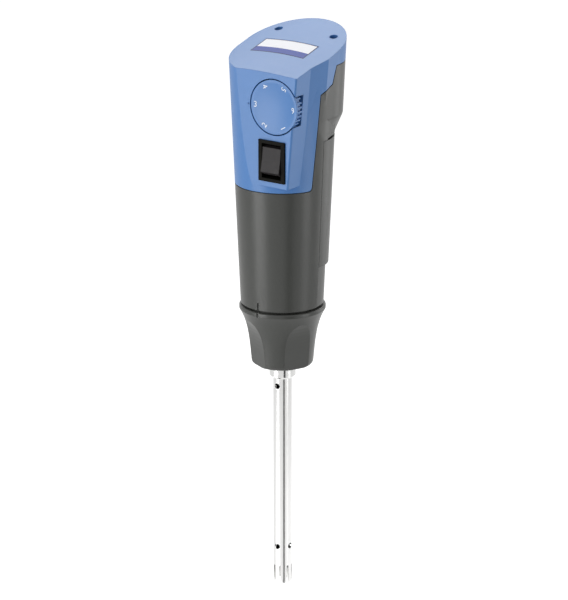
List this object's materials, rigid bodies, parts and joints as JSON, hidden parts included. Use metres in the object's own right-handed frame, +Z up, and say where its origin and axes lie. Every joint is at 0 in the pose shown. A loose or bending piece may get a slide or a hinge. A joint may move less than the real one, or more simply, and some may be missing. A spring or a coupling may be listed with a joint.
{
  "type": "rotor stator homogenizer",
  "caption": "Hand-held or stand-mounted drive with speed dial and rocker switch, whose clamp ring holds a slim dispersing tool with a slotted stator and an inner rotor.",
  "frame": {"origin": "centre of the tool's open tip, on the spindle axis", "axes": "+Z up the spindle axis to the drive's top, -Y out of the control panel, +X to the side where the dial's edge stands out"},
  "size_m": [0.0566, 0.0646, 0.3033],
  "materials": {
    "cover_blue": "fine moulded texture, satin",
    "housing_grey": "fine moulded texture, satin",
    "ring_grey": "smooth satin plastic",
    "label": "plain printed film",
    "switch_black": "semi-gloss moulding",
    "stainless": "ground and polished",
    "steel": "bright machined",
    "screw_steel": "blackened screw",
    "aluminium": "turned",
    "motor_iron": "zinc plated iron",
    "magnet": "sintered ferrite",
    "copper": "enamelled copper",
    "brass": "turned brass",
    "carbon": "pressed carbon",
    "inner_plastic": "moulded inner part",
    "white_plastic": "natural fluoropolymer",
    "circuit_board": "solder mask",
    "component": "moulded component case",
    "rubber": "black rubber"
  },
  "bodies": {
    "housing": {"control_cover": "cover_blue", "main_housing": "housing_grey", "rear_cover": "housing_grey", "top_label": "label", "cover_screws": "screw_steel", "rear_screws": "screw_steel", "spindle_neck": "aluminium", "neck_screws": "steel", "collet": "steel", "shaft_seal": "rubber", "motor_plate": "aluminium", "plate_screws": "steel", "motor_can": "motor_iron", "motor_magnets": "magnet", "brush_carrier": "inner_plastic", "brush_left": "carbon", "brush_right": "carbon", "brush_springs": "steel", "lower_bearing_race": "steel", "upper_bearing_race": "steel", "lower_bearing_balls": "steel", "upper_bearing_balls": "steel", "control_board": "circuit_board", "board_capacitor": "component", "board_filter": "component", "board_triac": "component", "speed_potentiometer": "component", "switch_case": "switch_black", "switch_terminals": "brass", "cord_gland": "rubber", "rod_socket": "brass"},
    "speed_dial": {"dial_wheel": "cover_blue", "dial_shaft": "steel"},
    "rocker_key": {"rocker": "switch_black"},
    "clamp_ring": {"lock_ring": "ring_grey"},
    "armature": {"motor_shaft": "steel", "armature_core": "motor_iron", "armature_windings": "copper", "commutator": "copper", "cooling_fan": "white_plastic", "drive_hub": "steel", "lower_inner_race": "steel", "upper_inner_race": "steel"},
    "tool": {"stator_tube": "stainless", "tool_head": "stainless", "head_seal": "rubber", "head_bush": "brass", "slide_bearing": "white_plastic"},
    "rotor": {"rotor_shaft": "stainless", "rotor_blades": "stainless", "drive_dog": "steel", "shaft_clip": "steel"}
  },
  "joints": [
    {"name": "dial_turn", "type": "hinge", "parent": "housing", "child": "speed_dial", "pos_m": [0.0121, -0.0249, 0.2702], "axis": [0, -1, 0], "range_deg": [-120, 180]},
    {"name": "rocker_tilt", "type": "hinge", "parent": "housing", "child": "rocker_key", "pos_m": [0.0111, -0.0215, 0.2418], "axis": [1, 0, 0], "range_deg": [0, 18]},
    {"name": "ring_turn", "type": "hinge", "parent": "housing", "child": "clamp_ring", "pos_m": [0, 0, 0.125], "axis": [0, 0, 1], "range_deg": [0, 60]},
    {"name": "armature_spin", "type": "hinge", "parent": "housing", "child": "armature", "pos_m": [0, 0, 0.1592], "axis": [0, 0, 1], "continuous": true},
    {"name": "tool_slide", "type": "slide", "parent": "housing", "child": "tool", "axis": [0, 0, -1], "range_m": [0, 0.04]},
    {"name": "rotor_spin", "type": "hinge", "parent": "tool", "child": "rotor", "pos_m": [0, 0, 0.125], "axis": [0, 0, 1], "continuous": true}
  ],
  "couplings": [
    {"joint": "rotor_spin", "follows": "armature_spin", "ratio": 1}
  ]
}
